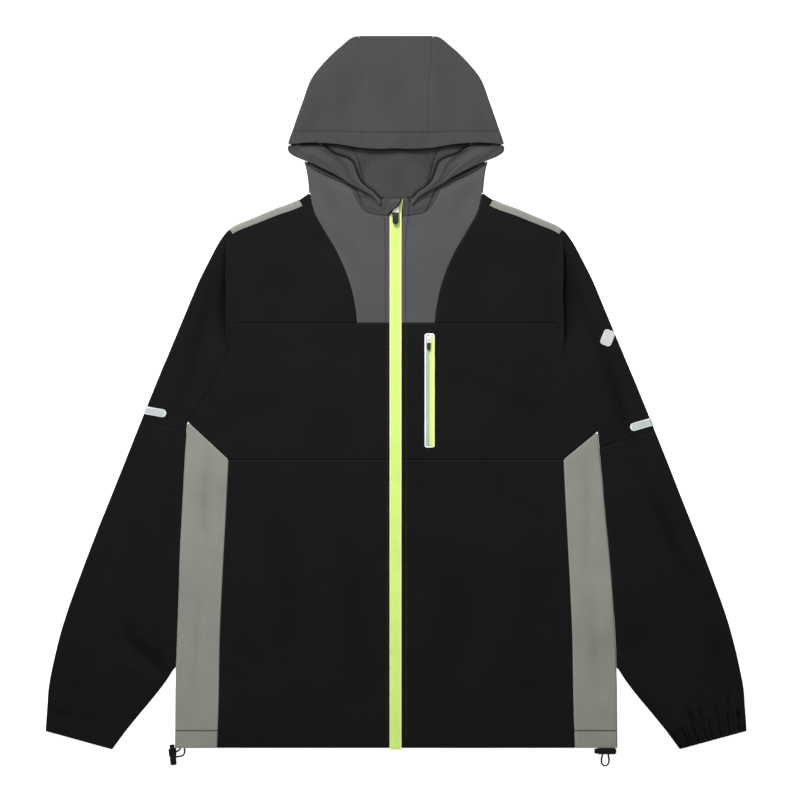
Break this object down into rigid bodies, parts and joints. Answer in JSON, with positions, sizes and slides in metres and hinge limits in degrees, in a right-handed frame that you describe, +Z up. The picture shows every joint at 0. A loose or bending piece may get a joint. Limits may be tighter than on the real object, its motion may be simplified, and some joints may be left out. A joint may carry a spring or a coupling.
{
  "type": "hooded track jacket",
  "caption": "Hooded zip-front track jacket with contrast yoke, side panels and gathered cuffs, laid flat on its back.",
  "frame": {"origin": "on the surface that the jacket lies on, under the middle of the garment's outline", "axes": "+X to the right as the laid jacket is seen from above, +Y from hem to hood, +Z up from the surface"},
  "size_m": [0.9108, 0.9494, 0.0094],
  "materials": {
    "black_cloth": "matt woven polyester",
    "dark_grey_cloth": "matt woven polyester",
    "light_grey_cloth": "matt woven polyester",
    "mesh_lining": "knitted mesh",
    "zip_tape": "bright woven tape",
    "reflective": "silver reflective film",
    "white_metal": "white enamelled zinc",
    "pull_rubber": "moulded rubber",
    "black_plastic": "moulded",
    "black_cord": "braided elastic"
  },
  "bodies": {
    "jacket": {"back_panel": "black_cloth", "front_lower_l": "black_cloth", "front_mid_l": "black_cloth", "front_upper_l": "black_cloth", "sleeve_upper_l": "black_cloth", "sleeve_lower_l": "black_cloth", "cuff_l": "black_cloth", "front_lower_r": "black_cloth", "front_mid_r": "black_cloth", "front_upper_r": "black_cloth", "sleeve_upper_r": "black_cloth", "sleeve_lower_r": "black_cloth", "cuff_r": "black_cloth", "collar_back": "dark_grey_cloth", "hood_centre": "dark_grey_cloth", "zip_guard": "dark_grey_cloth", "yoke_l": "dark_grey_cloth", "collar_corner_l": "dark_grey_cloth", "hood_side_l": "dark_grey_cloth", "hood_facing_l": "dark_grey_cloth", "hood_lip_l": "dark_grey_cloth", "yoke_r": "dark_grey_cloth", "collar_corner_r": "dark_grey_cloth", "hood_side_r": "dark_grey_cloth", "hood_facing_r": "dark_grey_cloth", "hood_lip_r": "dark_grey_cloth", "side_panel_l": "light_grey_cloth", "shoulder_strip_l": "light_grey_cloth", "side_panel_r": "light_grey_cloth", "shoulder_strip_r": "light_grey_cloth", "sleeve_patch": "light_grey_cloth", "hood_lining": "mesh_lining", "side_lining_l": "mesh_lining", "side_lining_r": "mesh_lining", "zip_tape_l": "zip_tape", "zip_tape_r": "zip_tape", "pocket_tape": "zip_tape", "reflect_bar_l": "reflective", "reflect_bar_r": "reflective", "pocket_frame": "reflective", "pocket_welt": "reflective", "zip_slider": "white_metal", "pocket_slider": "white_metal", "cord_lock_l": "black_plastic", "cord_lock_r": "black_plastic", "cord_loop_l": "black_cord", "cord_loop_r": "black_cord"},
    "zip_pull_body": {"zip_pull": "pull_rubber"},
    "pocket_pull_body": {"pocket_pull": "pull_rubber"}
  },
  "joints": [
    {"name": "zip_pull_flip", "type": "hinge", "parent": "jacket", "child": "zip_pull_body", "pos_m": [-0.0006, 0.2395, 0.00725], "axis": [-1, 0, 0], "range_deg": [0, 160]},
    {"name": "pocket_pull_flip", "type": "hinge", "parent": "jacket", "child": "pocket_pull_body", "pos_m": [0.0426, 0.0694, 0.00806], "axis": [-1, 0, 0], "range_deg": [0, 160]}
  ]
}
